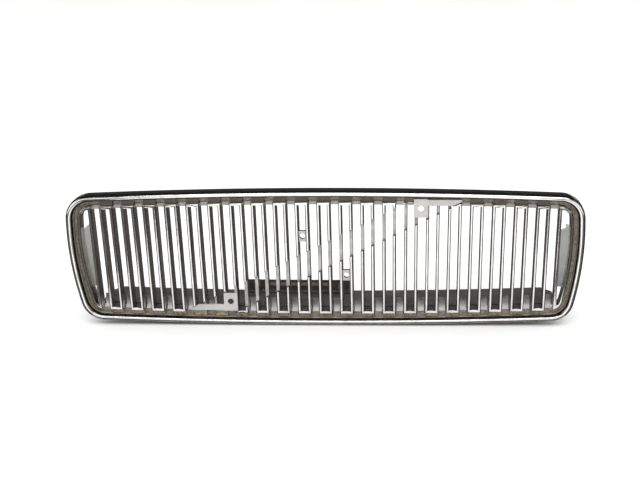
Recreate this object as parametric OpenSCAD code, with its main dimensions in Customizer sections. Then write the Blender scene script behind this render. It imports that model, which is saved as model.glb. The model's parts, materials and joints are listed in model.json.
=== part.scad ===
// Front grille: a chromed surround that carries a row of closed bar loops between two
// comb-shaped rails, with a lower shelf, mounting brackets and quarter-turn retainers.
// X is across the vehicle, +Y points back into it and +Z is up. The origin lies midway
// between the two badge bosses, on their front faces.

/* [Surround] */
// Overall width at the widest point
surround_w = 561.5; // [500:0.5:620]
// Height of the top edge above the origin, at mid-width
top_edge_z = 73.2; // [71:0.2:78]
// Depth of the bottom edge below the origin, at mid-width
bottom_edge_z = 79.4; // [77:0.1:83]
// Height at which the surround is widest
widest_z = 26.6; // [20:0.2:35]
// Bow radius of the top and bottom edges
edge_bow_r = 6200; // [4500:100:9000]
// Bow radius of the two sides
side_bow_r = 334; // [310:2:450]
// Radius of the upper corners
top_corner_r = 27; // [24:0.5:32]
// Radius of the lower corners
bottom_corner_r = 26.5; // [23:0.5:28]
// Width of the rounded outer bead
bead_w = 7.4; // [7:0.2:9]
// How far the bead stands in front of the channel floor's front face
bead_h = 11.3; // [9:0.1:13]
// Moulded wall thickness of the surround
wall_t = 2.1; // [1.8:0.1:2.1]

/* [Bar loops] */
// Number of loops on each side of the middle one
loops_each_side = 10; // [10:1:10]
// Spacing of the loops at their upper ends
pitch_top = 23.58; // [23.4:0.02:23.8]
// Spacing of the loops at their lower ends
pitch_bottom = 23.18; // [22.8:0.02:23.4]
// Width of a loop over its two blades
loop_w = 14.6; // [13.5:0.1:15.2]
// Thickness of a blade
blade_t = 3.4; // [2.8:0.1:4]
// Depth of a blade from front to back
blade_depth = 14; // [12:0.5:14]
// Height of the scoops that close the gaps between the loops at the bottom
scoop_h = 13.6; // [8:0.2:15]
// Distance of the loops' outer ends from the surround's outline
rim_inset = 13; // [12.9:0.1:14]

/* [Badge and trim recess] */
// Height of each badge boss hole above or below the origin
boss_z = 22.1; // [18:0.1:26]
// Height of a badge boss
boss_h = 12; // [10:0.5:14]
// Width of the diagonal recess that a trim strip lies in
recess_w = 26; // [22:1:30]
// Angle of the diagonal recess above the horizontal
recess_angle = 26.7; // [25:0.1:28]
// Depth of the diagonal recess
recess_depth = 3.5; // [2.5:0.5:4]
// Distance of each trim stud hole from the origin
stud_radius = 117.3; // [116:0.1:118]

/* [Shelf and brackets] */
// How far back the lower shelf reaches from the origin
shelf_back_y = 68; // [60:1:75]
// Thickness of the lower shelf
shelf_t = 2.5; // [2:0.1:3]
// Length of the rearward flange on a side bracket
flange_depth = 23; // [20:1:24]
// Width of the latch bracket at the back of the shelf
latch_w = 119; // [100:1:120]
// Offset of the latch bracket from the middle
latch_x = -36.5; // [-40:0.5:-30]

/* [Retainers] */
// Distance of each quarter-turn retainer from the middle
retainer_x = 153.3; // [145:0.1:160]
// Radius of a retainer's shaft
retainer_r = 3.45; // [3:0.05:3.6]
// Length of a retainer's T-head
tee_length = 20; // [16:1:22]

/* [Hidden] */

chrome = "gainsboro";
grey_plastic = "darkgray";
black_plastic = [0.2, 0.2, 0.2];
black_rubber = [0.12, 0.12, 0.12];
plain_steel = "silver";

$fn = 48;
half_w = surround_w / 2;
blade_front_y = -2;
blade_back_y = blade_front_y + blade_depth;
rear_y = 12;
floor_y = 7;
rim_t = 3.2;
slot_inset = rim_inset + rim_t;
rim_gap = 0.2;
gap_w = pitch_top - loop_w;
loop_count = 2 * loops_each_side + 1;

// Overlap where two shapes of one solid join, and how far a cutter runs past what it cuts
eps = 0.01;
over = 1;

// Centres of the four bow arcs and the four corner arcs, in the plane of the front. The
// angles where the long bows end are whole multiples of angle_step, and the side's centre
// comes from the two corners, so that all the arcs meet exactly.
angle_step = 0.0001;
top_c = [0, top_edge_z - edge_bow_r];
bottom_c = [0, edge_bow_r - bottom_edge_z];
side_guess = [half_w - side_bow_r, widest_z];
top_a = to_step(heading(top_c,
    meet(top_c, edge_bow_r - top_corner_r, side_guess, side_bow_r - top_corner_r, -1)));
bottom_a = to_step(heading(bottom_c,
    meet(bottom_c, edge_bow_r - bottom_corner_r, side_guess, side_bow_r - bottom_corner_r, 1)));
top_corner_c = top_c + (edge_bow_r - top_corner_r) * [cos(top_a), sin(top_a)];
bottom_corner_c = bottom_c + (edge_bow_r - bottom_corner_r) * [cos(bottom_a), sin(bottom_a)];
side_c = meet(top_corner_c, side_bow_r - top_corner_r, bottom_corner_c, side_bow_r - bottom_corner_r, -1);
side_top_a = heading(side_c, top_corner_c);
side_bottom_a = heading(side_c, bottom_corner_c);

// Where two circles cross; side picks one of the two crossings
function meet(c1, r1, c2, r2, side) =
    let (d = norm(c2 - c1), along = (r1 * r1 - r2 * r2 + d * d) / (2 * d))
    let (u = (c2 - c1) / d, off = sqrt(r1 * r1 - along * along))
    c1 + along * u + side * off * [-u.y, u.x];
function heading(from, to) = atan2(to.y - from.y, to.x - from.x);
function to_step(a) = round(a / angle_step) * angle_step;

// Points on an arc, and the whole outline moved in by inset
function arc(c, r, a0, a1, n) =
    [for (i = [0:n]) let (a = a0 + (a1 - a0) * i / n) c + r * [cos(a), sin(a)]];
arc_steps = 12;
side_arc_steps = 16;
function right_half(inset) = concat(
    arc(top_c, edge_bow_r - inset, 90, top_a, arc_steps),
    arc(top_corner_c, top_corner_r - inset, top_a, side_top_a, arc_steps),
    arc(side_c, side_bow_r - inset, side_top_a, side_bottom_a, side_arc_steps),
    arc(bottom_corner_c, bottom_corner_r - inset, side_bottom_a, bottom_a, arc_steps),
    arc(bottom_c, edge_bow_r - inset, bottom_a, -90, arc_steps));

// Height of the outline's top or bottom edge, and the side's X, moved in by inset
function top_z(inset, x) = top_c.y + sqrt(pow(edge_bow_r - inset, 2) - x * x);
function bottom_z(inset, x) = bottom_c.y - sqrt(pow(edge_bow_r - inset, 2) - x * x);
function side_x(inset, z) = side_c.x + sqrt(pow(side_bow_r - inset, 2) - pow(z - side_c.y, 2));

// Spacing of the loops at height z
function pitch(z) = pitch_top + (pitch_bottom - pitch_top)
    * (top_z(rim_inset, 0) - z) / (top_z(rim_inset, 0) - bottom_z(rim_inset, 0));

// Extrudes a front-view outline from y0 back to y1
module slab(y0, y1)
    translate([0, y1, 0])
        rotate([90, 0, 0])
            linear_extrude(y1 - y0)
                children();

// A round bar along Y from y0 to y1, at (x, z)
module bar_y(x, z, r, y0, y1)
    translate([x, y1, z])
        rotate([90, 0, 0])
            cylinder(r = r, h = y1 - y0);

// Draws its children and their mirror image across the middle
module both_sides() {
    children();
    mirror([1, 0, 0])
        children();
}

// Strips that follow the bowed top or bottom edge between two insets
strip_steps = 8;
module top_strip(inset0, inset1, x0, x1, n = strip_steps)
    polygon(concat(
        [for (i = [0:n]) let (x = x0 + (x1 - x0) * i / n) [x, top_z(inset0, x)]],
        [for (i = [n:-1:0]) let (x = x0 + (x1 - x0) * i / n) [x, top_z(inset1, x)]]));
module bottom_strip(inset0, inset1, x0, x1, n = strip_steps)
    polygon(concat(
        [for (i = [0:n]) let (x = x0 + (x1 - x0) * i / n) [x, bottom_z(inset0, x)]],
        [for (i = [n:-1:0]) let (x = x0 + (x1 - x0) * i / n) [x, bottom_z(inset1, x)]]));

// ---- Surround -------------------------------------------------------------------------

// Cross-section: X is minus the inset from the outline and Y is minus the depth
bead_mid = bead_w / 2;
bead_rise = 5.3;
bead_step_a = 15;
cavity_step_a = 20;
bead_base_y = floor_y - bead_h + bead_rise;
cavity_x0 = wall_t;
cavity_x1 = bead_w - wall_t;
lip_inset = rim_inset - rim_gap;
module surround_section(grow)
    offset(delta = grow) polygon(concat(
        [[0, -rear_y]],
        [for (t = [0:bead_step_a:180]) [bead_mid * cos(t) - bead_mid, bead_rise * sin(t) - bead_base_y]],
        [[-bead_w, -floor_y], [-lip_inset, -floor_y], [-lip_inset, -floor_y - wall_t],
            [-cavity_x1, -floor_y - wall_t]],
        [for (t = [180:-cavity_step_a:0])
            [(bead_mid - wall_t) * cos(t) - bead_mid, (bead_rise - wall_t) * sin(t) - bead_base_y]],
        [[-cavity_x0, -rear_y]]));

// One arc of the surround's section, about centre c. The long arcs run on by arc_lap into the
// corners, whose section is fuller by corner_grow, so that no two walls nearly coincide.
corner_grow = 0.05;
arc_lap = 1;
long_arc_fn = 1440;
side_arc_fn = 720;
corner_fn = 96;
module surround_arc(c, r, a0, a1, steps, lap, grow) {
    lap_a = lap / r * 180 / PI;
    translate([c.x, 0, c.y])
        rotate([90, 0, 0])
            rotate_extrude(start = a1 - lap_a, angle = a0 - a1 + 2 * lap_a, $fn = steps)
                translate([r, 0])
                    surround_section(grow);
}

// Screw posts behind the channel: five for the top rail, six for the shelf, four for the sides
post_r = 3;
post_bore_r = 1.5;
post_inset = 9.8;
bottom_post_inset = 8.8;
side_post_inset = 3.7;
side_post_r = 2.6;
post_bury = 1;
post_floor_t = 1;
top_screw_x = [-206.3, -100.2, 0, 100.2, 206.3];
bottom_screw_x = [-221.7, -128.6, -35, 35, 128.6, 221.7];
side_screw_z = [14, -27];
function top_post(x) = [x, top_z(post_inset, x)];
function bottom_post(x) = [x, bottom_z(bottom_post_inset, x)];
function side_post(z) = [side_x(side_post_inset, z), z];

module screw_post(p, r, y0)
    difference() {
        bar_y(p.x, p.y, r, y0, rear_y);
        bar_y(p.x, p.y, post_bore_r, y0 + post_floor_t, rear_y + over);
    }

module surround() color(chrome) {
    surround_arc(top_c, edge_bow_r, 180 - top_a, top_a, long_arc_fn, arc_lap, 0);
    both_sides() {
        surround_arc(top_corner_c, top_corner_r, top_a, side_top_a, corner_fn, 0, corner_grow);
        surround_arc(side_c, side_bow_r, side_top_a, side_bottom_a, side_arc_fn, arc_lap, 0);
        surround_arc(bottom_corner_c, bottom_corner_r, side_bottom_a, bottom_a, corner_fn, 0, corner_grow);
    }
    surround_arc(bottom_c, edge_bow_r, bottom_a, -180 - bottom_a, long_arc_fn, arc_lap, 0);
    for (x = top_screw_x)
        screw_post(top_post(x), post_r, floor_y + post_bury);
    for (x = bottom_screw_x)
        screw_post(bottom_post(x), post_r, floor_y + post_bury);
    both_sides()
        for (z = side_screw_z)
            screw_post(side_post(z), side_post_r, bead_base_y - post_bury);
}

// ---- Bar loops ------------------------------------------------------------------------

// Front view of loop i: its four corners at the given insets, drawn in by margin
module loop_face(i, inset, margin) {
    z1 = top_z(inset, i * pitch_top);
    z0 = bottom_z(inset, i * pitch_bottom);
    half = loop_w / 2 - margin;
    polygon([[i * pitch(z0) - half, z0], [i * pitch(z0) + half, z0],
        [i * pitch(z1) + half, z1], [i * pitch(z1) - half, z1]]);
}

// Diagonal recess across the loops' front edges, widened by spare
recess_half_l = 170;
module trim_recess(y0, y1, spare = 0)
    rotate([0, -recess_angle, 0])
        translate([-recess_half_l, y0, -recess_w / 2 - spare])
            cube([2 * recess_half_l, y1 - y0, recess_w + 2 * spare]);

foot_back_y = floor_y;
foot_front_y = 3.2;
foot_inset = 8;
foot_side_gap = 0.6;
foot_half = loop_w / 2 - foot_side_gap;
boss_t = 4;
boss_hole_r = 3;
// Each boss bridges the loop next to the middle one, at the upper left and the lower right
boss_x = (pitch(boss_z) + pitch(-boss_z)) / 2;
recess_loops = 6;

module bar_loop(n) color(chrome) {
    i = n - 1 - loops_each_side;
    difference() {
        slab(blade_front_y, blade_back_y)
            loop_face(i, rim_inset, 0);
        slab(blade_front_y - over, blade_back_y + over)
            loop_face(i, slot_inset, blade_t);
        if (abs(i) <= recess_loops)
            trim_recess(blade_front_y - over, blade_front_y + recess_depth);
    }
    // Feet that stand in the surround's channel
    slab(foot_front_y, foot_back_y) {
        top_strip(foot_inset, rim_inset + eps, i * pitch_top - foot_half, i * pitch_top + foot_half, 2);
        bottom_strip(foot_inset, rim_inset + eps,
            i * pitch_bottom - foot_half, i * pitch_bottom + foot_half, 2);
    }
    // A badge boss bridges the blades of the loops on each side of the middle one
    if (abs(i) == 1)
        difference() {
            translate([i * boss_x - loop_w / 2 + blade_t / 2, 0, -i * boss_z - boss_h / 2])
                cube([loop_w - blade_t, boss_t, boss_h]);
            bar_y(i * boss_x, -i * boss_z, boss_hole_r, -over, boss_t + over);
        }
}

// A blade line beside the outermost gap, moved outwards by shift, and all that lies outside it
far_z = 100;
far_margin = 20;
far_x = half_w + far_margin;
module outside(shift) {
    x1 = (loops_each_side + 0.5) * pitch(far_z) + gap_w / 2 + shift;
    x0 = (loops_each_side + 0.5) * pitch(-far_z) + gap_w / 2 + shift;
    polygon([[x0, -far_z], [far_x, -far_z], [far_x, far_z], [x1, far_z]]);
}

// D-shaped loop that closes the right-hand end of the row
module end_loop() color(chrome)
    difference() {
        slab(blade_front_y, blade_back_y)
            intersection() {
                polygon(right_half(rim_inset));
                outside(0);
            }
        slab(blade_front_y - over, blade_back_y + over)
            intersection() {
                polygon(right_half(slot_inset));
                outside(blade_t);
            }
    }

// ---- Rails ----------------------------------------------------------------------------

rail_t = 3;
rail_back_y = rear_y + rail_t;
rail_half = 246;
tooth_clearance = 0.3;
tooth_front_y = 6.5;
top_spine_inset = 6.3;
top_tooth_inset = 17.2;
screw_hole_r = 1.8;
gap_numbers = [-loops_each_side - 0.5:1:loops_each_side + 0.5];

retainer_z = 60.2;
retainer_play = 0.05;
retainer_bore_r = retainer_r + retainer_play;
retainer_boss_r = 6.5;
retainer_boss_y = 26;
bore_front_y = 13;
clip_y = 20;
clip_t = 1;
clip_w = 10;
clip_slot_side = 0.2;
clip_slot_gap = 0.1;
clip_slot_low = 4;
clip_slot_h = 12;

// Boss with a blind bore for a retainer, and the slot that its clip drops into
module retainer_boss_body()
    bar_y(retainer_x, retainer_z, retainer_boss_r, rear_y, retainer_boss_y);
module retainer_boss_cuts() {
    bar_y(retainer_x, retainer_z, retainer_bore_r, bore_front_y, retainer_boss_y + over);
    translate([retainer_x - clip_w / 2 - clip_slot_side, clip_y - clip_t / 2 - clip_slot_gap,
        retainer_z - clip_slot_low])
        cube([clip_w + 2 * clip_slot_side, clip_t + 2 * clip_slot_gap, clip_slot_h]);
}

// Spine behind the loops, with a tooth in each gap between them
module top_rail() color(grey_plastic)
    difference() {
        union() {
            slab(rear_y, rail_back_y)
                top_strip(top_spine_inset, top_tooth_inset, -rail_half, rail_half);
            for (k = gap_numbers) {
                x = k * pitch_top;
                half = gap_w / 2 - tooth_clearance;
                slab(tooth_front_y, rear_y + eps)
                    top_strip(rim_inset, top_tooth_inset, x - half, x + half, 1);
            }
            both_sides()
                retainer_boss_body();
        }
        both_sides()
            retainer_boss_cuts();
        for (x = top_screw_x)
            bar_y(x, top_post(x).y, screw_hole_r, rear_y - over, rail_back_y + over);
    }

// Plain spine that screws on behind the channel and carries the scoops
bottom_spine_inset0 = 3.8;
bottom_spine_inset1 = 11.8;
spine_steps = 24;
module bottom_rail() color(chrome)
    difference() {
        slab(rear_y, rail_back_y)
            bottom_strip(bottom_spine_inset0, bottom_spine_inset1, -rail_half, rail_half, spine_steps);
        for (x = bottom_screw_x)
            bar_y(x, bottom_post(x).y, screw_hole_r, rear_y - over, rail_back_y + over);
    }

// Concave scoop that rises towards the back, on a foot that stands on the spine's edge
scoop_clearance = 0.7;
scoop_land = 1.5;
scoop_lip = 0.6;
scoop_run = rail_back_y - scoop_land - tooth_front_y;
scoop_rise = scoop_h - scoop_lip;
scoop_half = gap_w / 2 - scoop_clearance;
scoop_step_a = 10;
scoop_lap = 1;
function scoop_curve() = [for (t = [0:scoop_step_a:90])
    [tooth_front_y + scoop_run * sin(t), scoop_lip + scoop_rise * (1 - cos(t))]];
module bottom_scoop(x) {
    translate([x - scoop_half, 0, bottom_z(rim_inset, x)])
        rotate([90, 0, 90])
            linear_extrude(2 * scoop_half)
                polygon(concat(scoop_curve(),
                    [[rail_back_y, scoop_h], [rail_back_y, 0], [tooth_front_y, 0]]));
    slab(rear_y, rail_back_y)
        bottom_strip(bottom_spine_inset1, rim_inset + scoop_lap, x - scoop_half, x + scoop_half, 1);
}
module bottom_scoops() color(chrome)
    for (k = gap_numbers)
        bottom_scoop(k * pitch_bottom);

// ---- Trim end plates ------------------------------------------------------------------

plate_t = 2;
plate_gap = 0.15;
plate_back_y = blade_front_y + recess_depth;
stud_x = stud_radius * cos(recess_angle);
stud_z = stud_radius * sin(recess_angle);
stud_hole_r = 3.3;
plate_tab_w = 15;
plate_tab_low_z = 43;
plate_strip_low_z = 56;
plate_top_inset = 8.8;
plate_top_z = top_z(plate_top_inset, stud_x);
plate_strip_w = 44;
plate_strip_top_z = top_z(plate_top_inset, stud_x + plate_strip_w);

// Fills the recess where it runs out over the upper rims, with a tab round the stud hole
module trim_plate() color(grey_plastic)
    difference() {
        intersection() {
            slab(plate_back_y - plate_t, plate_back_y) {
                translate([stud_x - plate_tab_w / 2, plate_tab_low_z])
                    square([plate_tab_w, plate_top_z - plate_tab_low_z]);
                translate([stud_x, plate_strip_low_z])
                    square([plate_strip_w, plate_strip_top_z - plate_strip_low_z]);
            }
            trim_recess(plate_back_y - plate_t - over, plate_back_y + over, -plate_gap);
        }
        bar_y(stud_x, stud_z, stud_hole_r, plate_back_y - plate_t - over, plate_back_y + over);
    }

// ---- Lower shelf and latch bracket ----------------------------------------------------

shelf_front_y = rail_back_y;
shelf_half = 252;
shelf_back_half = 240;
shelf_corner = 16;
shelf_top_inset = 16.4;
shelf_under_inset = shelf_top_inset - shelf_t;
shelf_steps = 16;
shelf_flange_setback = 12;
shelf_flange_half = shelf_half - shelf_flange_setback;
hem_inset = 6.8;
hem_setback = 4;
hem_half = shelf_back_half - hem_setback;
rib_x = [-200, -120, -60, 0, 60, 120, 200];
rib_t = 1.8;
rib_inset = 7.3;
rib_lap = 0.6;
peg_x = 180;
peg_y = 50;
peg_r = 4;
peg_length = 10;
peg_boss_r = 5.5;
peg_boss_h = 3.8;
peg_cone_h = 1;
peg_tip = 1;
peg_lap = 0.5;

// Upright drill of radius r through the shelf and whatever lies on it, at (x, y)
drill_low_z = -80;
drill_h = 30;
module drill_up(x, y, r)
    translate([x, y, drill_low_z])
        cylinder(r = r, h = drill_h);

module shelf_panel()
    intersection() {
        slab(shelf_front_y, shelf_back_y)
            bottom_strip(shelf_under_inset, shelf_top_inset, -shelf_half, shelf_half, shelf_steps);
        translate([0, 0, -far_z])
            linear_extrude(far_z)
                polygon([[-shelf_half, 0], [shelf_half, 0], [shelf_half, shelf_back_y - shelf_corner],
                    [shelf_back_half, shelf_back_y], [-shelf_back_half, shelf_back_y],
                    [-shelf_half, shelf_back_y - shelf_corner]]);
    }

// Root boss that carries the washer, then a cone down to the pin and its tapered tip
module locating_peg()
    translate([peg_x, peg_y, bottom_z(shelf_under_inset, peg_x)])
        mirror([0, 0, 1]) {
            translate([0, 0, -peg_lap])
                cylinder(r = peg_boss_r, h = peg_boss_h + peg_lap);
            translate([0, 0, peg_boss_h])
                cylinder(r1 = peg_boss_r, r2 = peg_r, h = peg_cone_h);
            translate([0, 0, peg_boss_h + peg_cone_h])
                cylinder(r = peg_r, h = peg_length);
            translate([0, 0, peg_boss_h + peg_cone_h + peg_length])
                cylinder(r1 = peg_r, r2 = peg_r - peg_tip, h = peg_tip);
        }

module lower_shelf() color(black_plastic)
    difference() {
        union() {
            shelf_panel();
            slab(shelf_front_y, shelf_front_y + shelf_t)
                bottom_strip(bottom_spine_inset0, shelf_under_inset + eps,
                    -shelf_flange_half, shelf_flange_half);
            slab(shelf_back_y - shelf_t, shelf_back_y)
                bottom_strip(hem_inset, shelf_under_inset + eps, -hem_half, hem_half);
            for (x = rib_x)
                translate([x - rib_t / 2, shelf_front_y + shelf_t - eps, bottom_z(rib_inset, x)])
                    cube([rib_t, shelf_back_y - shelf_front_y - 2 * (shelf_t - eps),
                        shelf_under_inset - rib_inset + rib_lap]);
            both_sides()
                locating_peg();
        }
        for (x = bottom_screw_x)
            bar_y(x, bottom_post(x).y, screw_hole_r, shelf_front_y - over, shelf_front_y + shelf_t + over);
        for (x = rivet_x)
            drill_up(x, rivet_y, rivet_r);
    }

latch_x0 = latch_x - latch_w / 2;
latch_x1 = latch_x + latch_w / 2;
latch_t = 2;
latch_h = 13;
latch_foot_y = 56;
latch_gap = 0.03;
latch_gusset_x = 46;
latch_gusset_t = 2;
latch_gusset_drop = 4;
latch_gusset_setback = 1;
latch_gusset_top = latch_h - latch_gusset_drop;
latch_gussets = [latch_x0 + latch_gusset_t / 2, latch_x - latch_gusset_x, latch_x + latch_gusset_x,
    latch_x1 - latch_gusset_t / 2];
rivet_pitch = 40;
rivet_x = [latch_x - rivet_pitch, latch_x, latch_x + rivet_pitch];
rivet_y = 60.5;
rivet_r = 1.6;

// Angle that stands up from the back edge of the shelf
module latch_bracket() color(black_plastic)
    difference() {
        union() {
            slab(latch_foot_y, shelf_back_y)
                bottom_strip(shelf_top_inset + latch_gap, shelf_top_inset + latch_t, latch_x0, latch_x1);
            slab(shelf_back_y - latch_t, shelf_back_y)
                bottom_strip(shelf_top_inset + latch_t - eps, shelf_top_inset + latch_h,
                    latch_x0, latch_x1);
            for (x = latch_gussets)
                translate([x - latch_gusset_t / 2, 0, bottom_z(shelf_top_inset + latch_t, x) - eps])
                    rotate([90, 0, 90])
                        linear_extrude(latch_gusset_t)
                            polygon([[latch_foot_y + latch_gusset_setback, 0],
                                [shelf_back_y - latch_t + eps, 0],
                                [shelf_back_y - latch_t + eps, latch_gusset_top]]);
        }
        for (x = rivet_x)
            drill_up(x, rivet_y, rivet_r);
    }

// Felt strip stuck to the front of the upstand, between the inner gussets
strip_t = 1.5;
strip_half = 33;
strip_setback = 6.5;
strip_w = 3.3;
strip_inset0 = shelf_top_inset + strip_setback;
strip_inset1 = strip_inset0 + strip_w;
module latch_bracket_strip() color("tan")
    slab(shelf_back_y - latch_t - strip_t, shelf_back_y - latch_t)
        bottom_strip(strip_inset0, strip_inset1, latch_x - strip_half, latch_x + strip_half);

// Flat-headed rivet whose shank runs into both heads
rivet_head_r = 3;
rivet_head_t = 1.1;
rivet_tail_r = 2.6;
rivet_tail_t = 1.2;
rivet_gap = 0.05;
rivet_side_gap = 0.02;
module rivet(x) {
    z_top = bottom_z(shelf_top_inset + latch_t, x);
    z_under = z_top - latch_t - shelf_t;
    grip = z_top - z_under + 2 * rivet_gap;
    translate([x, rivet_y, z_under - rivet_gap - rivet_tail_t / 2])
        cylinder(r = rivet_r - rivet_side_gap, h = grip + (rivet_head_t + rivet_tail_t) / 2);
    translate([x, rivet_y, z_top + rivet_gap])
        cylinder(r = rivet_head_r, h = rivet_head_t);
    translate([x, rivet_y, z_under - rivet_gap - rivet_tail_t])
        cylinder(r = rivet_tail_r, h = rivet_tail_t);
}
module latch_bracket_rivets() color(plain_steel)
    for (x = rivet_x)
        rivet(x);

// ---- Side brackets --------------------------------------------------------------------

side_plate_t = 2.5;
side_plate_x = 252.6;
side_plate_top = 26;
side_plate_bottom = -38.6;
side_plate_inset = 1.5;
flange_x = 264;
flange_y0 = rear_y + side_plate_t;
flange_hole_depth = 16;
flange_hole_y = rear_y + flange_hole_depth;
flange_hole_z = [12, -25];
flange_hole_r = 3.25;
gusset_t = 2;
gusset_edge = 0.5;
gusset_w = 9;
gusset_l = 12;
gusset_z = [side_plate_top - gusset_edge - gusset_t, side_plate_bottom + gusset_edge];

// Plate behind the end loop, with a rearward flange that is bolted to the body
module side_bracket() color(grey_plastic)
    difference() {
        union() {
            slab(rear_y, flange_y0)
                intersection() {
                    polygon(right_half(side_plate_inset));
                    polygon([[side_plate_x, side_plate_bottom], [half_w, side_plate_bottom],
                        [half_w, side_plate_top], [side_plate_x, side_plate_top]]);
                }
            translate([flange_x, flange_y0 - eps, side_plate_bottom])
                cube([side_plate_t, flange_depth, side_plate_top - side_plate_bottom]);
            for (z = gusset_z)
                translate([flange_x + eps, flange_y0 - eps, z])
                    linear_extrude(gusset_t)
                        polygon([[0, 0], [-gusset_w, 0], [0, gusset_l]]);
        }
        for (z = flange_hole_z)
            translate([flange_x - over, flange_hole_y, z])
                rotate([0, 90, 0])
                    cylinder(r = flange_hole_r, h = side_plate_t + 2 * over);
        for (z = side_screw_z)
            bar_y(side_post(z).x, z, screw_hole_r, rear_y - over, flange_y0 + over);
    }

// ---- Fasteners and seals --------------------------------------------------------------

head_r = 3.2;
head_h = 1.9;
head_gap = 0.02;
shank_lap = 0.5;
cross_l = 3.4;
cross_w = 0.8;
cross_d = 1;
thread_play = 0.03;
thread_r = post_bore_r - thread_play;
tip_gap = 0.5;
tip_y = floor_y + post_bury + post_floor_t + tip_gap;

// Cross-recessed pan-head screw whose head sits at head_y, and which ends at y1
module pan_screw(p, head_y, y1)
    difference() {
        union() {
            bar_y(p.x, p.y, thread_r, y1, head_y + shank_lap);
            bar_y(p.x, p.y, head_r, head_y + head_gap, head_y + head_h);
        }
        for (turn = [0, 90])
            translate([p.x, head_y + head_h, p.y])
                rotate([0, turn, 0])
                    cube([cross_l, 2 * cross_d, cross_w], center = true);
    }

module top_rail_screws() color(plain_steel)
    for (x = top_screw_x)
        pan_screw(top_post(x), rail_back_y, tip_y);

module shelf_screws() color(plain_steel)
    for (x = bottom_screw_x)
        pan_screw(bottom_post(x), shelf_front_y + shelf_t, tip_y);

module side_bracket_screws() color(plain_steel)
    both_sides()
        for (z = side_screw_z)
            pan_screw(side_post(z), flange_y0, bead_base_y - post_bury + post_floor_t + tip_gap);

// Foam strips on the back of the top rail, broken at its screws and at the retainers
seal_margin = 9;
seal_t = 6;
seal_inset0 = 6.6;
seal_inset1 = 9.6;
seal_stops = [top_screw_x[0], -retainer_x, top_screw_x[1], top_screw_x[2], top_screw_x[3],
    retainer_x, top_screw_x[4]];
module top_seal() color("dimgray")
    for (i = [0:len(seal_stops) - 2])
        slab(rail_back_y, rail_back_y + seal_t)
            top_strip(seal_inset0, seal_inset1,
                seal_stops[i] + seal_margin, seal_stops[i + 1] - seal_margin);

// Rubber washers at the roots of the locating pegs
washer_t = 3.2;
washer_r = 9;
washer_play = 0.02;
washer_bore_r = peg_boss_r + washer_play;
washer_drop = 0.4;
module peg_washers() color(black_rubber)
    both_sides()
        translate([peg_x, peg_y, bottom_z(shelf_under_inset, peg_x) - washer_t - washer_drop])
            difference() {
                cylinder(r = washer_r, h = washer_t);
                translate([0, 0, -over])
                    cylinder(r = washer_bore_r, h = washer_t + 2 * over);
            }

// ---- Quarter-turn retainers -----------------------------------------------------------

shaft_gap = 0.4;
shaft_start_y = bore_front_y + shaft_gap;
shaft_chamfer = 0.5;
collar_gap = 0.3;
collar_y = retainer_boss_y + collar_gap;
collar_t = 2;
collar_r = 6;
tee_y = 31.5;
tee_t = 5;
tee_w = 6;
tee_lap = 0.5;
tee_end = tee_length / 2 - tee_w / 2;
groove_w = 1.6;
groove_r = 2.5;

// Half profile of the shaft, with a groove for the clip and a collar: radius, then depth
function shaft_profile() = [[0, shaft_start_y], [retainer_r - shaft_chamfer, shaft_start_y],
    [retainer_r, shaft_start_y + shaft_chamfer],
    [retainer_r, clip_y - groove_w / 2], [groove_r, clip_y - groove_w / 2],
    [groove_r, clip_y + groove_w / 2], [retainer_r, clip_y + groove_w / 2],
    [retainer_r, collar_y], [collar_r, collar_y],
    [collar_r, collar_y + collar_t], [retainer_r, collar_y + collar_t],
    [retainer_r, tee_y + tee_lap], [0, tee_y + tee_lap]];

// Shaft, then the T-head that locks behind a panel
module retainer() color(black_plastic)
    translate([retainer_x, 0, retainer_z]) {
        rotate([-90, 0, 0])
            rotate_extrude()
                polygon(shaft_profile());
        translate([-tee_end, tee_y, -tee_w / 2])
            cube([2 * tee_end, tee_t, tee_w]);
        for (x = [-tee_end, tee_end])
            bar_y(x, 0, tee_w / 2, tee_y, tee_y + tee_t);
    }

// Spring-steel fork that drops into the boss and holds the shaft by its groove
fork_gap = 0.2;
fork_low = 3.6;
fork_h = 11.2;
fork_half = groove_r + fork_gap;
module retainer_clip()
    translate([retainer_x, 0, retainer_z])
        slab(clip_y - clip_t / 2, clip_y + clip_t / 2)
            difference() {
                translate([-clip_w / 2, -fork_low])
                    square([clip_w, fork_h]);
                circle(r = fork_half);
                translate([-fork_half, -fork_low - over])
                    square([2 * fork_half, fork_low + over]);
            }
module retainer_clips() color(plain_steel)
    both_sides()
        retainer_clip();

// ---- Nodes ----------------------------------------------------------------------------

function loop_name(n) = str("bar_loop_", n < 10 ? "0" : "", n);

surround();
top_rail();
bottom_rail();
bottom_scoops();
mirror([1, 0, 0]) end_loop();  // end_loop_left
end_loop();  // end_loop_right
for (n = [1:loop_count]) bar_loop(n);
trim_plate();  // upper_trim_plate
rotate([0, 180, 0]) trim_plate();  // lower_trim_plate
lower_shelf();
latch_bracket();
latch_bracket_strip();
latch_bracket_rivets();
mirror([1, 0, 0]) side_bracket();  // side_bracket_left
side_bracket();  // side_bracket_right
side_bracket_screws();
top_rail_screws();
shelf_screws();
top_seal();
peg_washers();
mirror([1, 0, 0]) retainer();  // retainer_left
retainer();  // retainer_right
retainer_clips();
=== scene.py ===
import json
import math

import bmesh
import bpy
from mathutils import Matrix, Vector


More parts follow.
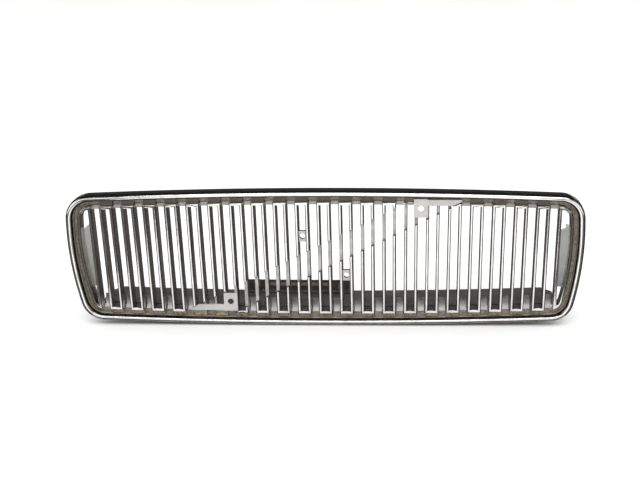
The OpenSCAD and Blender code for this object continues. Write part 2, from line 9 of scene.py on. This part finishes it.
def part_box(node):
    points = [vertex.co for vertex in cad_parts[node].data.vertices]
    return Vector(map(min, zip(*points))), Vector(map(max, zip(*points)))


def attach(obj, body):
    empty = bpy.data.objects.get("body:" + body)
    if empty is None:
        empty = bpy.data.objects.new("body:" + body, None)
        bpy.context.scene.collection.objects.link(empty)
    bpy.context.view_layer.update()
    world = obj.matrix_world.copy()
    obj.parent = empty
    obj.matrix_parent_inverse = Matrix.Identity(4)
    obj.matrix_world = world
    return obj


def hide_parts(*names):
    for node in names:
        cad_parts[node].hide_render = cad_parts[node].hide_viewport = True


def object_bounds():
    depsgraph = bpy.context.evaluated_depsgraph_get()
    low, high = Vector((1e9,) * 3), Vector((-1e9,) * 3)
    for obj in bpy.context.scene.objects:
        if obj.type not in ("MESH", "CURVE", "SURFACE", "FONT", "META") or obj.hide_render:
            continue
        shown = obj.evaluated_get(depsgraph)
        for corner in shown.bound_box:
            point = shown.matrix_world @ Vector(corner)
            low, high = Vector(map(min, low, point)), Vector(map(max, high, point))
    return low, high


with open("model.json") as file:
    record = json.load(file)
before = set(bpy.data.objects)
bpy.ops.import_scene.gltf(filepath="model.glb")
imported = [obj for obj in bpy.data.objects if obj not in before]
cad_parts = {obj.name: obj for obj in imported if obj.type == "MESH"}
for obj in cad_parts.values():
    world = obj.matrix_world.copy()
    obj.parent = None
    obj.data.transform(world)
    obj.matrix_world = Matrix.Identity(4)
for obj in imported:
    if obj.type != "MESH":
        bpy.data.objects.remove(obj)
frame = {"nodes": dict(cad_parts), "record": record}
cad_lo, cad_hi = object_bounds()
MM = 0.001

# ---- Camera, at the photograph's viewing angle --------------------------------------------

CAMERA_AT = Vector((0.12, -1.20, 0.372))
YAW, PITCH, ROLL = (math.radians(d) for d in (2.3, 16.4, -0.6))
SENSOR_MM, LENS_MM = 36.0, 65.30625
SHIFT_X = -0.11

look = Vector((-math.sin(YAW) * math.cos(PITCH), math.cos(YAW) * math.cos(PITCH), -math.sin(PITCH)))
flat_right = look.cross(Vector((0, 0, 1))).normalized()
flat_up = flat_right.cross(look)
right = flat_right * math.cos(ROLL) + flat_up * math.sin(ROLL)
up = flat_up * math.cos(ROLL) - flat_right * math.sin(ROLL)
cam_data = bpy.data.cameras.new("camera")
cam_data.sensor_width = SENSOR_MM
cam_data.lens = LENS_MM
cam_data.shift_x = SHIFT_X
camera = bpy.data.objects.new("camera", cam_data)
bpy.context.scene.collection.objects.link(camera)
turn = Matrix((right, up, -look)).transposed().to_4x4()
camera.matrix_world = Matrix.Translation(CAMERA_AT) @ turn
bpy.context.scene.camera = camera
bpy.context.scene.view_settings.view_transform = "Standard"

# ---- Material building --------------------------------------------------------------------

NOISE_ROUGHNESS = 0.55
NOISE_LOW, NOISE_HIGH = 0.3, 0.7        # most of a noise's values lie between these
RAGGED_LOW, RAGGED_HIGH = 0.2, 0.8
PIT_SCALE, PIT_COLOUR = 900, (0.30, 0.27, 0.23)
SCUFF_STRETCH = (1, 0.08, 1)
CREVICE_SAMPLES = 8
MIX_FACTOR, MIX_A, MIX_B, MIX_RESULT = 0, 6, 7, 2


def colour_mix(tree, factor, a, b):
    """Colour a where the factor is 0 and b where it is 1; either may be a plain colour."""
    node = tree.nodes.new("ShaderNodeMix")
    node.data_type = "RGBA"
    tree.links.new(factor, node.inputs[MIX_FACTOR])
    for value, key in ((a, MIX_A), (b, MIX_B)):
        if isinstance(value, tuple):
            node.inputs[key].default_value = (*value, 1)
        else:
            tree.links.new(value, node.inputs[key])
    return node.outputs[MIX_RESULT]


class Graph:
    """A material's node tree, with short calls for the nodes that every finish here uses."""

    def __init__(self, name, metallic, roughness):
        self.mat = bpy.data.materials.new(name)
        self.mat.use_nodes = True
        self.tree = self.mat.node_tree
        self.bsdf = self.tree.nodes["Principled BSDF"]
        self.bsdf.inputs["Metallic"].default_value = metallic
        self.bsdf.inputs["Roughness"].default_value = roughness
        self.where = self.tree.nodes.new("ShaderNodeTexCoord").outputs["Object"]

    def link(self, a, b):
        self.tree.links.new(a, b)

    def stretched(self, scale):
        node = self.tree.nodes.new("ShaderNodeMapping")
        node.inputs["Scale"].default_value = scale
        self.link(self.where, node.inputs["Vector"])
        return node.outputs["Vector"]

    def noise(self, scale, detail, stretch=(1, 1, 1)):
        node = self.tree.nodes.new("ShaderNodeTexNoise")
        node.inputs["Scale"].default_value = scale
        node.inputs["Detail"].default_value = detail
        node.inputs["Roughness"].default_value = NOISE_ROUGHNESS
        self.link(self.stretched(stretch), node.inputs["Vector"])
        return node.outputs["Fac"]

    def axis(self, name):
        node = self.tree.nodes.new("ShaderNodeSeparateXYZ")
        self.link(self.where, node.inputs[0])
        return node.outputs[name]

    def ragged_depth(self, noise, wander):
        """Depth into the grille, shifted by noise so that an edge drawn at one depth wanders."""
        node = self.tree.nodes.new("ShaderNodeMath")
        self.link(self.axis("Y"), node.inputs[0])
        self.link(self.remap(noise, RAGGED_LOW, RAGGED_HIGH, -wander, wander), node.inputs[1])
        return node.outputs[0]

    def spots(self, scale):
        node = self.tree.nodes.new("ShaderNodeTexVoronoi")
        node.inputs["Scale"].default_value = scale
        self.link(self.where, node.inputs["Vector"])
        return node.outputs["Distance"]

    def remap(self, value, lo, hi, out_lo, out_hi):
        node = self.tree.nodes.new("ShaderNodeMapRange")
        for key, v in (("From Min", lo), ("From Max", hi), ("To Min", out_lo), ("To Max", out_hi)):
            node.inputs[key].default_value = v
        self.link(value, node.inputs["Value"])
        return node.outputs["Result"]

    def ramp(self, value, *stops):
        node = self.tree.nodes.new("ShaderNodeValToRGB")
        band = node.color_ramp
        while len(band.elements) < len(stops):
            band.elements.new(0.5)
        for element, (at, colour) in zip(band.elements, stops):
            element.position = at
            element.color = (*colour, 1)
        self.link(value, node.inputs["Fac"])
        return node.outputs["Color"]

    def mottled(self, scale, detail, deep, pale, top=NOISE_HIGH):
        """Cloudy colour: deep where the noise is low, pale where it is high."""
        return self.ramp(self.noise(scale, detail), (NOISE_LOW, deep), (top, pale))

    def mix(self, factor, a, b):
        return colour_mix(self.tree, factor, a, b)

    def crevice(self, distance):
        node = self.tree.nodes.new("ShaderNodeAmbientOcclusion")
        node.samples = CREVICE_SAMPLES
        node.inputs["Distance"].default_value = distance
        return node.outputs["AO"]

    def colour(self, value):
        self.link(value, self.bsdf.inputs["Base Color"])

    def rough(self, value):
        self.link(value, self.bsdf.inputs["Roughness"])

    def uneven_rough(self, scale, detail, smooth, coarse, top=NOISE_HIGH):
        self.rough(self.remap(self.noise(scale, detail), NOISE_LOW, top, smooth, coarse))

    def bump(self, *layers):
        normal = None
        for height, strength, distance in layers:
            node = self.tree.nodes.new("ShaderNodeBump")
            node.inputs["Strength"].default_value = strength
            node.inputs["Distance"].default_value = distance
            self.link(height, node.inputs["Height"])
            if normal:
                self.link(normal, node.inputs["Normal"])
            normal = node.outputs["Normal"]
        self.link(normal, self.bsdf.inputs["Normal"])


def plated(name, bright, dull, grime_and_shade, reach):
    """Chrome plate: cloudy reflections, fine pits, and painted shade with dirt where the surface is closed
    in.
    """
    g = Graph(name, 1.0, 0.1)
    pits = g.spots(PIT_SCALE)
    pitted = g.mix(g.remap(pits, 0.05, 0.16, 0.45, 0.0), g.mottled(60, 6, dull, bright), PIT_COLOUR)
    # Where the surface is closed in, the colour goes to painted shade with dirt in it
    g.colour(g.mix(g.remap(g.crevice(reach), 0.25, 0.85, 0.0, 1.0), grime_and_shade, pitted))
    g.uneven_rough(35, 5, smooth=0.05, coarse=0.2, top=0.75)
    g.bump((g.noise(260, 3), 0.06, 0.6 * MM), (pits, 0.05, 0.3 * MM))
    return g.mat


def moulded(name, pale, deep, roughness, grain=1400):
    """Moulded plastic: fine grain, and faint scuffs."""
    g = Graph(name, 0.0, roughness)
    scuff_colour = tuple(min(1, c * 1.6 + 0.04) for c in pale)
    scuffs = g.remap(g.noise(300, 2, SCUFF_STRETCH), 0.62, 0.7, 0.0, 0.35)
    g.colour(g.mix(scuffs, g.mottled(45, 6, deep, pale, top=0.72), scuff_colour))
    g.uneven_rough(120, 4, smooth=roughness - 0.1, coarse=roughness + 0.12)
    g.bump((g.noise(grain, 2), 0.12, 0.2 * MM))
    return g.mat


# The darkest of these colours is painted shade with dirt, laid where the plate is closed in
chrome = plated("chrome", bright=(0.92, 0.92, 0.91), dull=(0.62, 0.61, 0.59),
                grime_and_shade=(0.16, 0.14, 0.12), reach=6 * MM)

# The surround's bead is bright chrome along its crest, with painted dark reflection on either side of it,
# alike all the way round
CREST_ENDS, DARK_BAND_STARTS = -4.1 * MM, -3.4 * MM
g = Graph("surround_chrome", 1.0, 0.12)
plate = g.mottled(60, 6, deep=(0.80, 0.79, 0.77), pale=(0.96, 0.96, 0.95))
# Painted dark reflection, laid on the bead off its crest
painted_dark_beside = g.mottled(150, 5, deep=(0.08, 0.072, 0.065), pale=(0.22, 0.205, 0.19))
depth = g.ragged_depth(g.noise(150, 5), 0.3 * MM)
g.colour(g.mix(g.remap(depth, CREST_ENDS, DARK_BAND_STARTS, 0.0, 1.0), plate, painted_dark_beside))
g.uneven_rough(35, 5, smooth=0.05, coarse=0.22, top=0.75)
g.bump((g.noise(260, 3), 0.06, 0.6 * MM), (g.spots(PIT_SCALE), 0.05, 0.3 * MM))
surround_chrome = g.mat

# Its inner wall and channel are thinly plated, darker and browner towards the channel floor, and painted
# shade with dirt where the surface is closed in
BROWN_STARTS, BROWN_FULL = 4.2 * MM, 6.2 * MM
CHANNEL_GRIME_AND_SHADE = (0.06, 0.052, 0.042)
g = Graph("channel_film_and_shade", 0.35, 0.45)
thin = g.mottled(150, 5, deep=(0.36, 0.35, 0.335), pale=(0.64, 0.63, 0.61))
# Darker and browner towards the floor of the channel
deeper_brown = g.ramp(g.noise(520, 5), (0.32, (0.14, 0.12, 0.09)), (0.7, (0.40, 0.36, 0.28)))
depth = g.ragged_depth(g.noise(190, 4), 0.6 * MM)
film = g.mix(g.remap(depth, BROWN_STARTS, BROWN_FULL, 0.0, 1.0), thin, deeper_brown)
# Where the surface is closed in, the colour goes to painted shade with dirt in it
g.colour(g.mix(g.remap(g.crevice(2.5 * MM), 0.2, 0.7, 0.0, 1.0), CHANNEL_GRIME_AND_SHADE, film))
g.uneven_rough(200, 3, smooth=0.3, coarse=0.6)
g.bump((g.noise(700, 3), 0.12, 0.3 * MM))
channel_film_and_shade = g.mat

# The sides of the blades are plated, and darkened with painted dark reflection in upright runs
g = Graph("chrome_flank", 1.0, 0.3)
runs = g.noise(170, 5, (1, 1, 0.05))
g.colour(g.ramp(runs, (0.3, (0.22, 0.19, 0.17)), (0.5, (0.42, 0.39, 0.36)), (0.72, (0.80, 0.79, 0.77))))
g.uneven_rough(90, 4, smooth=0.16, coarse=0.34)
g.bump((g.noise(500, 3), 0.08, 0.4 * MM))
flank = g.mat

# The rounded arrises of the blades are dark with painted reflection, in upright runs
g = Graph("painted_dark_edge", 1.0, 0.35)
runs = g.noise(190, 5, (1, 1, 0.08))
g.colour(g.ramp(runs, (0.3, (0.035, 0.032, 0.03)), (0.55, (0.08, 0.074, 0.068)), (0.8, (0.24, 0.225, 0.21))))
g.uneven_rough(90, 4, smooth=0.25, coarse=0.45)
g.bump((g.noise(500, 3), 0.08, 0.4 * MM))
painted_dark_edge = g.mat

# Unplated plastic where the recess is cut through the plating
g = Graph("recess_floor", 0.0, 0.45)
g.colour(g.mottled(110, 5, deep=(0.24, 0.23, 0.22), pale=(0.46, 0.45, 0.43), top=0.75))
g.uneven_rough(200, 3, smooth=0.35, coarse=0.6)
g.bump((g.noise(900, 3), 0.15, 0.3 * MM))
recess_floor = g.mat

# The loops' feet in the channel carry a brown film, with painted reflection making it lighter and yellower
# low on the grille and darker towards its top
LIT_LOW_FILM, SHADED_HIGH_FILM, FOOT_GRIME = (0.40, 0.33, 0.21), (0.13, 0.115, 0.10), (0.10, 0.085, 0.06)
FILM_LOW_Z, FILM_HIGH_Z = -30 * MM, 30 * MM
g = Graph("foot_film", 0.35, 0.5)
# Painted reflection: lighter low on the grille, darker high
film = g.mix(g.remap(g.axis("Z"), FILM_LOW_Z, FILM_HIGH_Z, 0.0, 1.0), LIT_LOW_FILM, SHADED_HIGH_FILM)
g.colour(g.mix(g.remap(g.noise(420, 4), 0.42, 0.62, 0.0, 0.75), film, FOOT_GRIME))
g.uneven_rough(200, 3, smooth=0.35, coarse=0.65)
g.bump((g.noise(900, 3), 0.15, 0.3 * MM))
foot_film = g.mat

# Scoops: pale plastic, with painted shade darkening them towards the back
BACK_SHADE_STARTS, BACK_SHADE_FULL, BACK_SHADE = 9.5 * MM, 14.0 * MM, (0.085, 0.075, 0.07)
g = Graph("scoop_plastic", 0.0, 0.4)
pale = g.mottled(160, 5, deep=(0.76, 0.75, 0.73), pale=(0.92, 0.91, 0.89), top=0.72)
depth = g.ragged_depth(g.noise(190, 4), 0.9 * MM)
# Painted shade: darker towards the back of the scoops
g.colour(g.mix(g.remap(depth, BACK_SHADE_STARTS, BACK_SHADE_FULL, 0.0, 1.0), pale, BACK_SHADE))
g.uneven_rough(200, 3, smooth=0.3, coarse=0.55)
g.bump((g.noise(900, 3), 0.12, 0.2 * MM))
scoop_plastic = g.mat

grey_plastic = moulded("grey_plastic", (0.50, 0.49, 0.475), (0.40, 0.39, 0.375), 0.42)
# A lighter copy of the grey plastic for the side brackets, painted light against the shade they sit in
lit_grey_plastic = moulded("lit_grey_plastic", (0.63, 0.62, 0.585), (0.52, 0.51, 0.475), 0.5)
black_plastic = moulded("black_plastic", (0.115, 0.10, 0.09), (0.06, 0.053, 0.049), 0.5)
foam = moulded("foam", (0.075, 0.075, 0.08), (0.035, 0.035, 0.04), 0.88, grain=2200)
rubber = moulded("rubber", (0.05, 0.05, 0.05), (0.025, 0.025, 0.025), 0.72)

# Zinc-plated steel, with specks of rust
RUST = (0.30, 0.17, 0.09)
g = Graph("steel", 1.0, 0.3)
zinc = g.mottled(150, 5, deep=(0.44, 0.43, 0.39), pale=(0.70, 0.69, 0.65))
g.colour(g.mix(g.remap(g.noise(420, 4), 0.62, 0.72, 0.0, 0.6), zinc, RUST))
g.uneven_rough(300, 3, smooth=0.22, coarse=0.45)
g.bump((g.noise(900, 2), 0.1, 0.2 * MM))
steel = g.mat

# Tan felt, with its fibres running along the strip
g = Graph("felt", 0.0, 0.95)
fibres = g.noise(1500, 4, (0.35, 1, 1))
g.colour(g.ramp(fibres, (0.3, (0.20, 0.155, 0.11)), (0.7, (0.40, 0.33, 0.25))))
g.bsdf.inputs["Sheen Weight"].default_value = 0.35
g.rough(g.remap(fibres, 0.3, 0.7, 0.85, 1.0))
g.bump((fibres, 0.6, 0.5 * MM))
felt = g.mat

# ---- Pieces from the CAD's own shapes, with softened edges ----------------------------------

BODY_OF = {n: b for b, ns in frame["record"]["behaviour"]["bodies"].items() for n in ns}
SLOT_OF = {s["node"]: s["material_slot"] for s in frame["record"]["subparts"]}
FINISH = {"chrome": chrome, "grey_plastic": grey_plastic, "black_plastic": black_plastic,
          "steel": steel, "rubber": rubber, "felt": felt, "foam": foam}
MERGE = 0.004 * MM
FLAT_DEG, CREASE_DEG, KEEP_SHARP_DEG = 0.6, 28, 38


def place(obj, node):
    """Puts a finished piece in the scene in place of its CAD node."""
    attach(obj, BODY_OF[node])
    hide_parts(node)


def softened(node, radius, finishes, pick=None, segments=2, chosen=None):
    """A copy of a CAD node's shape whose sharp edges, or just the chosen ones, are rounded."""
    bm = bmesh.new()
    bm.from_mesh(frame["nodes"][node].data)
    bmesh.ops.remove_doubles(bm, verts=bm.verts, dist=MERGE)
    bmesh.ops.dissolve_degenerate(bm, edges=bm.edges, dist=MERGE)
    bmesh.ops.dissolve_limit(bm, angle_limit=math.radians(FLAT_DEG), verts=bm.verts, edges=bm.edges)
    sharp = [e for e in bm.edges if e.is_manifold and e.calc_face_angle(0) > math.radians(CREASE_DEG)]
    if chosen:
        sharp = [e for e in sharp if chosen(e)]
    bmesh.ops.bevel(bm, geom=sharp, offset=radius, offset_type="OFFSET", segments=segments,
                    profile=0.5, affect="EDGES", clamp_overlap=not chosen)
    bmesh.ops.recalc_face_normals(bm, faces=bm.faces)
    mesh = bpy.data.meshes.new("look_" + node)
    bm.to_mesh(mesh)
    bm.free()
    for material in finishes:
        mesh.materials.append(material)
    for face in mesh.polygons:
        face.use_smooth = True
        if pick:
            face.material_index = pick(face)
    mesh.set_sharp_from_angle(angle=math.radians(KEEP_SHARP_DEG))
    obj = bpy.data.objects.new("look_" + node, mesh)
    bpy.context.scene.collection.objects.link(obj)
    obj.modifiers.new("even_normals", "WEIGHTED_NORMAL").keep_sharp = True
    place(obj, node)


# Depths of the loops' front faces, in mm
NOSE_MM, BOSS_MM, RECESS_MM, FOOT_MM = -2.0, 0.0, 1.5, 3.2
NEAR_MM = 0.1
# Limits on the parts of a face's normal, by which its finish is chosen
FRONT, SIDE, ROUNDED_FROM, ROUNDED_TO, ROUNDED_FRONT = 0.9, 0.8, 0.2, 0.995, 0.1
STEP_LEAN, STEP_FRONT, STEP_DEPTH_MM = 0.3, 0.5, 1.0
SHORTEST_NOSE = 1.0 * MM
LOOP_FINISHES = [chrome, flank, recess_floor, foot_film, painted_dark_edge, grey_plastic]
BRIGHT, FLANK, RECESS, FOOT, ARRIS, BOSS = range(len(LOOP_FINISHES))
LOOP_SOFTEN_MM, LOOP_SEGMENTS = 0.95, 3
loops = sorted(n for n in frame["nodes"] if n.startswith("bar_loop_"))


def loop_finish(face):
    """Which of LOOP_FINISHES a loop's face carries, from the way it faces and how deep it lies."""
    n, depth_mm = face.normal, face.center.y / MM
    if n.y < -FRONT:
        for level, finish in ((RECESS_MM, RECESS), (FOOT_MM, FOOT), (BOSS_MM, BOSS)):
            if abs(depth_mm - level) < NEAR_MM:
                return finish
    # Recess step walls and rounded arrises take the dark arris colour: painted shadow on the steps, painted
    # dark reflection on the arrises
    recess_step = abs(n.z) > STEP_LEAN and abs(n.y) < STEP_FRONT and depth_mm < STEP_DEPTH_MM
    rounded = n.y < -ROUNDED_FRONT and ROUNDED_FROM < abs(n.x) < ROUNDED_TO
    if recess_step or rounded:
        return ARRIS
    return FLANK if abs(n.x) > SIDE else BRIGHT


def nose_edge(edge):
    """Outward corners of the front faces, and of the recess floor."""
    depths = {round(v.co.y / MM, 1) for v in edge.verts}
    return edge.is_convex and depths in ({NOSE_MM}, {RECESS_MM}) and edge.calc_length() > SHORTEST_NOSE


for node in loops + ["end_loop_left", "end_loop_right"]:
    softened(node, LOOP_SOFTEN_MM * MM, LOOP_FINISHES, loop_finish, LOOP_SEGMENTS, nose_edge)

SOFTEN_MM = {"top_rail": 0.3, "bottom_rail": 0.3, "bottom_scoops": 0.3,
             "upper_trim_plate": 0.25, "lower_trim_plate": 0.25, "lower_shelf": 0.4,
             "latch_bracket": 0.35, "latch_bracket_strip": 0.3, "side_bracket_left": 0.4,
             "side_bracket_right": 0.4, "top_seal": 0.8, "peg_washers": 0.4,
             "retainer_left": 0.3, "retainer_right": 0.3, "retainer_clips": 0.12,
             "latch_bracket_rivets": 0.3, "side_bracket_screws": 0.15, "top_rail_screws": 0.15,
             "shelf_screws": 0.15}
# The side brackets take the lighter copy of the grey plastic, painted light for the shade they sit in
OWN_FINISH = {"bottom_scoops": scoop_plastic, "side_bracket_left": lit_grey_plastic,
              "side_bracket_right": lit_grey_plastic}
for node, radius in SOFTEN_MM.items():
    softened(node, radius * MM, [OWN_FINISH.get(node, FINISH[SLOT_OF[node]])])

# ---- Surround: one fine sweep of its section round the bowed outline -----------------------

s_lo, s_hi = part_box("surround")
EDGE_BOW_R, SIDE_BOW_R = 6200 * MM, 334 * MM
TOP_CORNER_R, BOTTOM_CORNER_R = 27 * MM, 26.5 * MM
WIDEST_Z = 26.6 * MM
top_c = Vector((0, s_hi.z - EDGE_BOW_R))
bottom_c = Vector((0, s_lo.z + EDGE_BOW_R))
side_c = Vector((s_hi.x - SIDE_BOW_R, WIDEST_Z))


def meet(c1, r1, c2, r2, side):
    """Where two circles cross; side picks one of the two crossings."""
    d = (c2 - c1).length
    along = (r1 * r1 - r2 * r2 + d * d) / (2 * d)
    u = (c2 - c1) / d
    off = math.sqrt(r1 * r1 - along * along)
    return c1 + u * along + Vector((-u.y, u.x)) * side * off


def heading(a, b):
    return math.atan2(b.y - a.y, b.x - a.x)


tc = meet(top_c, EDGE_BOW_R - TOP_CORNER_R, side_c, SIDE_BOW_R - TOP_CORNER_R, -1)
bc = meet(bottom_c, EDGE_BOW_R - BOTTOM_CORNER_R, side_c, SIDE_BOW_R - BOTTOM_CORNER_R, 1)
QUARTER = math.pi / 2
EDGE_STEPS, CORNER_STEPS, SIDE_STEPS = 60, 26, 40
right_arcs = [(top_c, EDGE_BOW_R, QUARTER, heading(top_c, tc), EDGE_STEPS),
              (tc, TOP_CORNER_R, heading(top_c, tc), heading(side_c, tc), CORNER_STEPS),
              (side_c, SIDE_BOW_R, heading(side_c, tc), heading(side_c, bc), SIDE_STEPS),
              (bc, BOTTOM_CORNER_R, heading(side_c, bc), heading(bottom_c, bc), CORNER_STEPS),
              (bottom_c, EDGE_BOW_R, heading(bottom_c, bc), -QUARTER, EDGE_STEPS)]
# Each station is one step round the outline, as centre, radius and angle
stations = []
for centre, radius, a0, a1, steps in right_arcs:
    for i in range(steps):
        stations.append((centre, radius, a0 + (a1 - a0) * i / steps))
left = [(Vector((-c.x, c.y)), r, math.pi - a) for c, r, a in stations[:0:-1]]
stations += [(bottom_c, EDGE_BOW_R, -QUARTER)] + left

# Section points as (inset, depth) in mm
BEAD_W, BEAD_BASE, BEAD_RISE, WALL, REAR = 7.4, 1.0, 5.3, 2.1, 12.0
FLOOR_Y, LIP_INSET = 7.0, 12.8
EDGE_FILLET, ROOT_FILLET, HOLLOW_FILLET = 0.5, 0.9, 0.3
BEAD_STEPS, HOLLOW_STEPS, FILLET_STEPS = 40, 14, 4


def half_ellipse(inner, a0, a1, steps):
    mid, rx, ry = BEAD_W / 2, BEAD_W / 2 - inner, BEAD_RISE - inner
    angles = [math.radians(a0 + (a1 - a0) * i / steps) for i in range(steps + 1)]
    return [(mid - rx * math.cos(a), BEAD_BASE - ry * math.sin(a)) for a in angles]


def filleted(corner, before, after, r):
    """Points that round one corner of the section."""
    c = Vector(corner)
    p = c + (Vector(before) - c).normalized() * r
    q = c + (Vector(after) - c).normalized() * r
    parts = [i / FILLET_STEPS for i in range(FILLET_STEPS + 1)]
    return [tuple(p.lerp(c, t).lerp(c.lerp(q, t), t)) for t in parts]


corners = [(0.0, REAR), (0.0, BEAD_BASE), (BEAD_W, BEAD_BASE), (BEAD_W, FLOOR_Y), (LIP_INSET, FLOOR_Y),
           (LIP_INSET, FLOOR_Y + WALL), (BEAD_W - WALL, FLOOR_Y + WALL), (BEAD_W - WALL, BEAD_BASE),
           (WALL, REAR)]
section = filleted(corners[0], corners[8], corners[1], EDGE_FILLET)
section += half_ellipse(0, 0, 180, BEAD_STEPS)
inner_wall = len(section) - 1
section += filleted(corners[3], corners[2], corners[4], ROOT_FILLET)
section += filleted(corners[4], corners[3], corners[5], EDGE_FILLET)
lip_end = len(section)
section += filleted(corners[5], corners[4], corners[6], EDGE_FILLET)
section += filleted(corners[6], corners[5], corners[7], HOLLOW_FILLET)
section += half_ellipse(WALL, 180, 0, HOLLOW_STEPS)
section += filleted(corners[8], (WALL, BEAD_BASE), corners[0], EDGE_FILLET)

# The section's sides from the foot of the bead's inner wall to the lip carry the channel's film and painted
# shade
CHANNEL = range(inner_wall, lip_end + 1)
BEAD_SLOT, CHANNEL_SLOT = 0, 1
CHANNEL_SHARP_DEG = 50
bm = bmesh.new()
rings = []
for centre, radius, angle in stations:
    out = Vector((math.cos(angle), math.sin(angle)))
    ring = []
    for inset, depth in section:
        p = centre + out * (radius - inset * MM)
        ring.append(bm.verts.new((p.x, depth * MM, p.y)))
    rings.append(ring)
for k, ring in enumerate(rings):
    following = rings[(k + 1) % len(rings)]
    for j in range(len(section)):
        i = (j + 1) % len(section)
        face = bm.faces.new((ring[j], ring[i], following[i], following[j]))
        face.material_index = CHANNEL_SLOT if j in CHANNEL else BEAD_SLOT
bmesh.ops.recalc_face_normals(bm, faces=bm.faces)
mesh = bpy.data.meshes.new("look_surround")
bm.to_mesh(mesh)
bm.free()
mesh.materials.append(surround_chrome)
mesh.materials.append(channel_film_and_shade)
for face in mesh.polygons:
    face.use_smooth = True
mesh.set_sharp_from_angle(angle=math.radians(CHANNEL_SHARP_DEG))
surround = bpy.data.objects.new("look_surround", mesh)
bpy.context.scene.collection.objects.link(surround)
place(surround, "surround")

# ---- Floor and light --------------------------------------------------------------------------

FLOOR_SIZE, UNDER = 30, 0.2 * MM
g = Graph("floor", 0.0, 0.6)
g.bsdf.inputs["Specular IOR Level"].default_value = 0.0
g.colour(g.mottled(3, 4, deep=(0.90, 0.90, 0.895), pale=(0.94, 0.94, 0.935)))
g.uneven_rough(8, 3, smooth=0.55, coarse=0.75)
bpy.ops.mesh.primitive_plane_add(size=FLOOR_SIZE, location=(0, 0, cad_lo.z - UNDER))
floor = bpy.context.object
floor.name = "floor"
floor.data.materials.append(g.mat)

# An even pale room, in which glossy reflections show a dark back and ceiling, and pale side walls
WHITE, DARK = (1.0, 1.0, 1.0), (0.07, 0.068, 0.07)
BACK_STARTS, BACK_FULL, BACK_NARROWS = -0.62, -0.42, -0.55
CEILING_STARTS, CEILING_FULL = 0.35, 0.6
BACKGROUND_STRENGTH = 1.05
world = bpy.data.worlds.new("studio")
bpy.context.scene.world = world
world.use_nodes = True
nodes, links = world.node_tree.nodes, world.node_tree.links


def product(a, b, plus=None):
    """a * b, or a * b + plus; b may be a number."""
    node = nodes.new("ShaderNodeMath")
    node.operation = "MULTIPLY_ADD" if plus else "MULTIPLY"
    links.new(a, node.inputs[0])
    if isinstance(b, float):
        node.inputs[1].default_value = b
    else:
        links.new(b, node.inputs[1])
    if plus:
        links.new(plus, node.inputs[2])
    return node.outputs[0]


def smooth_step(value, start, full):
    """Rises smoothly from 0 at start to 1 at full."""
    node = nodes.new("ShaderNodeMapRange")
    node.interpolation_type = "SMOOTHSTEP"
    node.inputs["From Min"].default_value = start
    node.inputs["From Max"].default_value = full
    links.new(value, node.inputs["Value"])
    return node.outputs["Result"]


split = nodes.new("ShaderNodeSeparateXYZ")
links.new(nodes.new("ShaderNodeTexCoord").outputs["Generated"], split.inputs[0])
sideways, rearward, upward = (split.outputs[axis] for axis in "XYZ")
narrowed = product(product(sideways, sideways), BACK_NARROWS, plus=rearward)
mirrored = colour_mix(world.node_tree, smooth_step(narrowed, BACK_STARTS, BACK_FULL), WHITE, DARK)
mirrored = colour_mix(world.node_tree, smooth_step(upward, CEILING_STARTS, CEILING_FULL), mirrored, DARK)
glossy = nodes.new("ShaderNodeLightPath").outputs["Is Glossy Ray"]
links.new(colour_mix(world.node_tree, glossy, WHITE, mirrored), nodes["Background"].inputs["Color"])
nodes["Background"].inputs["Strength"].default_value = BACKGROUND_STRENGTH

# Dark cards on the floor, seen only in glossy reflections
g = Graph("card", 0.0, 0.9)
g.colour(g.mottled(14, 5, deep=(0.035, 0.03, 0.028), pale=(0.11, 0.098, 0.09)))
card_mat = g.mat
CARD_HEIGHT, CARD_LAP = 1 * MM, 12 * MM
CARD_FAR_X, CARD_FRONT_Y, CARD_BACK_Y = 2.5, -1.1, 2.0
NEAR_CARD_DEPTH, BEHIND_GAP = 22 * MM, 20 * MM


def card(name, x0, x1, y0, y1):
    mesh = bpy.data.meshes.new(name)
    z = cad_lo.z + CARD_HEIGHT
    mesh.from_pydata([(x0, y0, z), (x1, y0, z), (x1, y1, z), (x0, y1, z)], [], [(0, 1, 2, 3)])
    mesh.materials.append(card_mat)
    obj = bpy.data.objects.new(name, mesh)
    bpy.context.scene.collection.objects.link(obj)
    obj.visible_camera = obj.visible_diffuse = obj.visible_shadow = obj.visible_transmission = False


inner_x0, inner_x1 = cad_lo.x + CARD_LAP, cad_hi.x - CARD_LAP
card("card_left", -CARD_FAR_X, inner_x0, CARD_FRONT_Y, CARD_BACK_Y)
card("card_right", inner_x1, CARD_FAR_X, CARD_FRONT_Y, CARD_BACK_Y)
card("card_behind", inner_x0, inner_x1, cad_hi.y + BEHIND_GAP, CARD_BACK_Y)
card("card_front", inner_x0, inner_x1, cad_lo.y - NEAR_CARD_DEPTH, cad_lo.y)


def area(name, at, size, power):
    """A soft light that faces the middle of the grille."""
    data = bpy.data.lights.new(name, "AREA")
    data.shape = "RECTANGLE"
    data.size, data.size_y = size
    data.energy = power
    light = bpy.data.objects.new(name, data)
    bpy.context.scene.collection.objects.link(light)
    light.location = at
    light.rotation_euler = (-Vector(at)).to_track_quat("-Z", "Y").to_euler()


area("front_softbox", at=(0.3, -2.2, 2.6), size=(3.0, 1.4), power=45)
area("left_fill", at=(-2.6, -0.6, 1.5), size=(1.6, 1.6), power=10)
area("right_fill", at=(2.6, -0.4, 1.5), size=(1.6, 1.6), power=8)
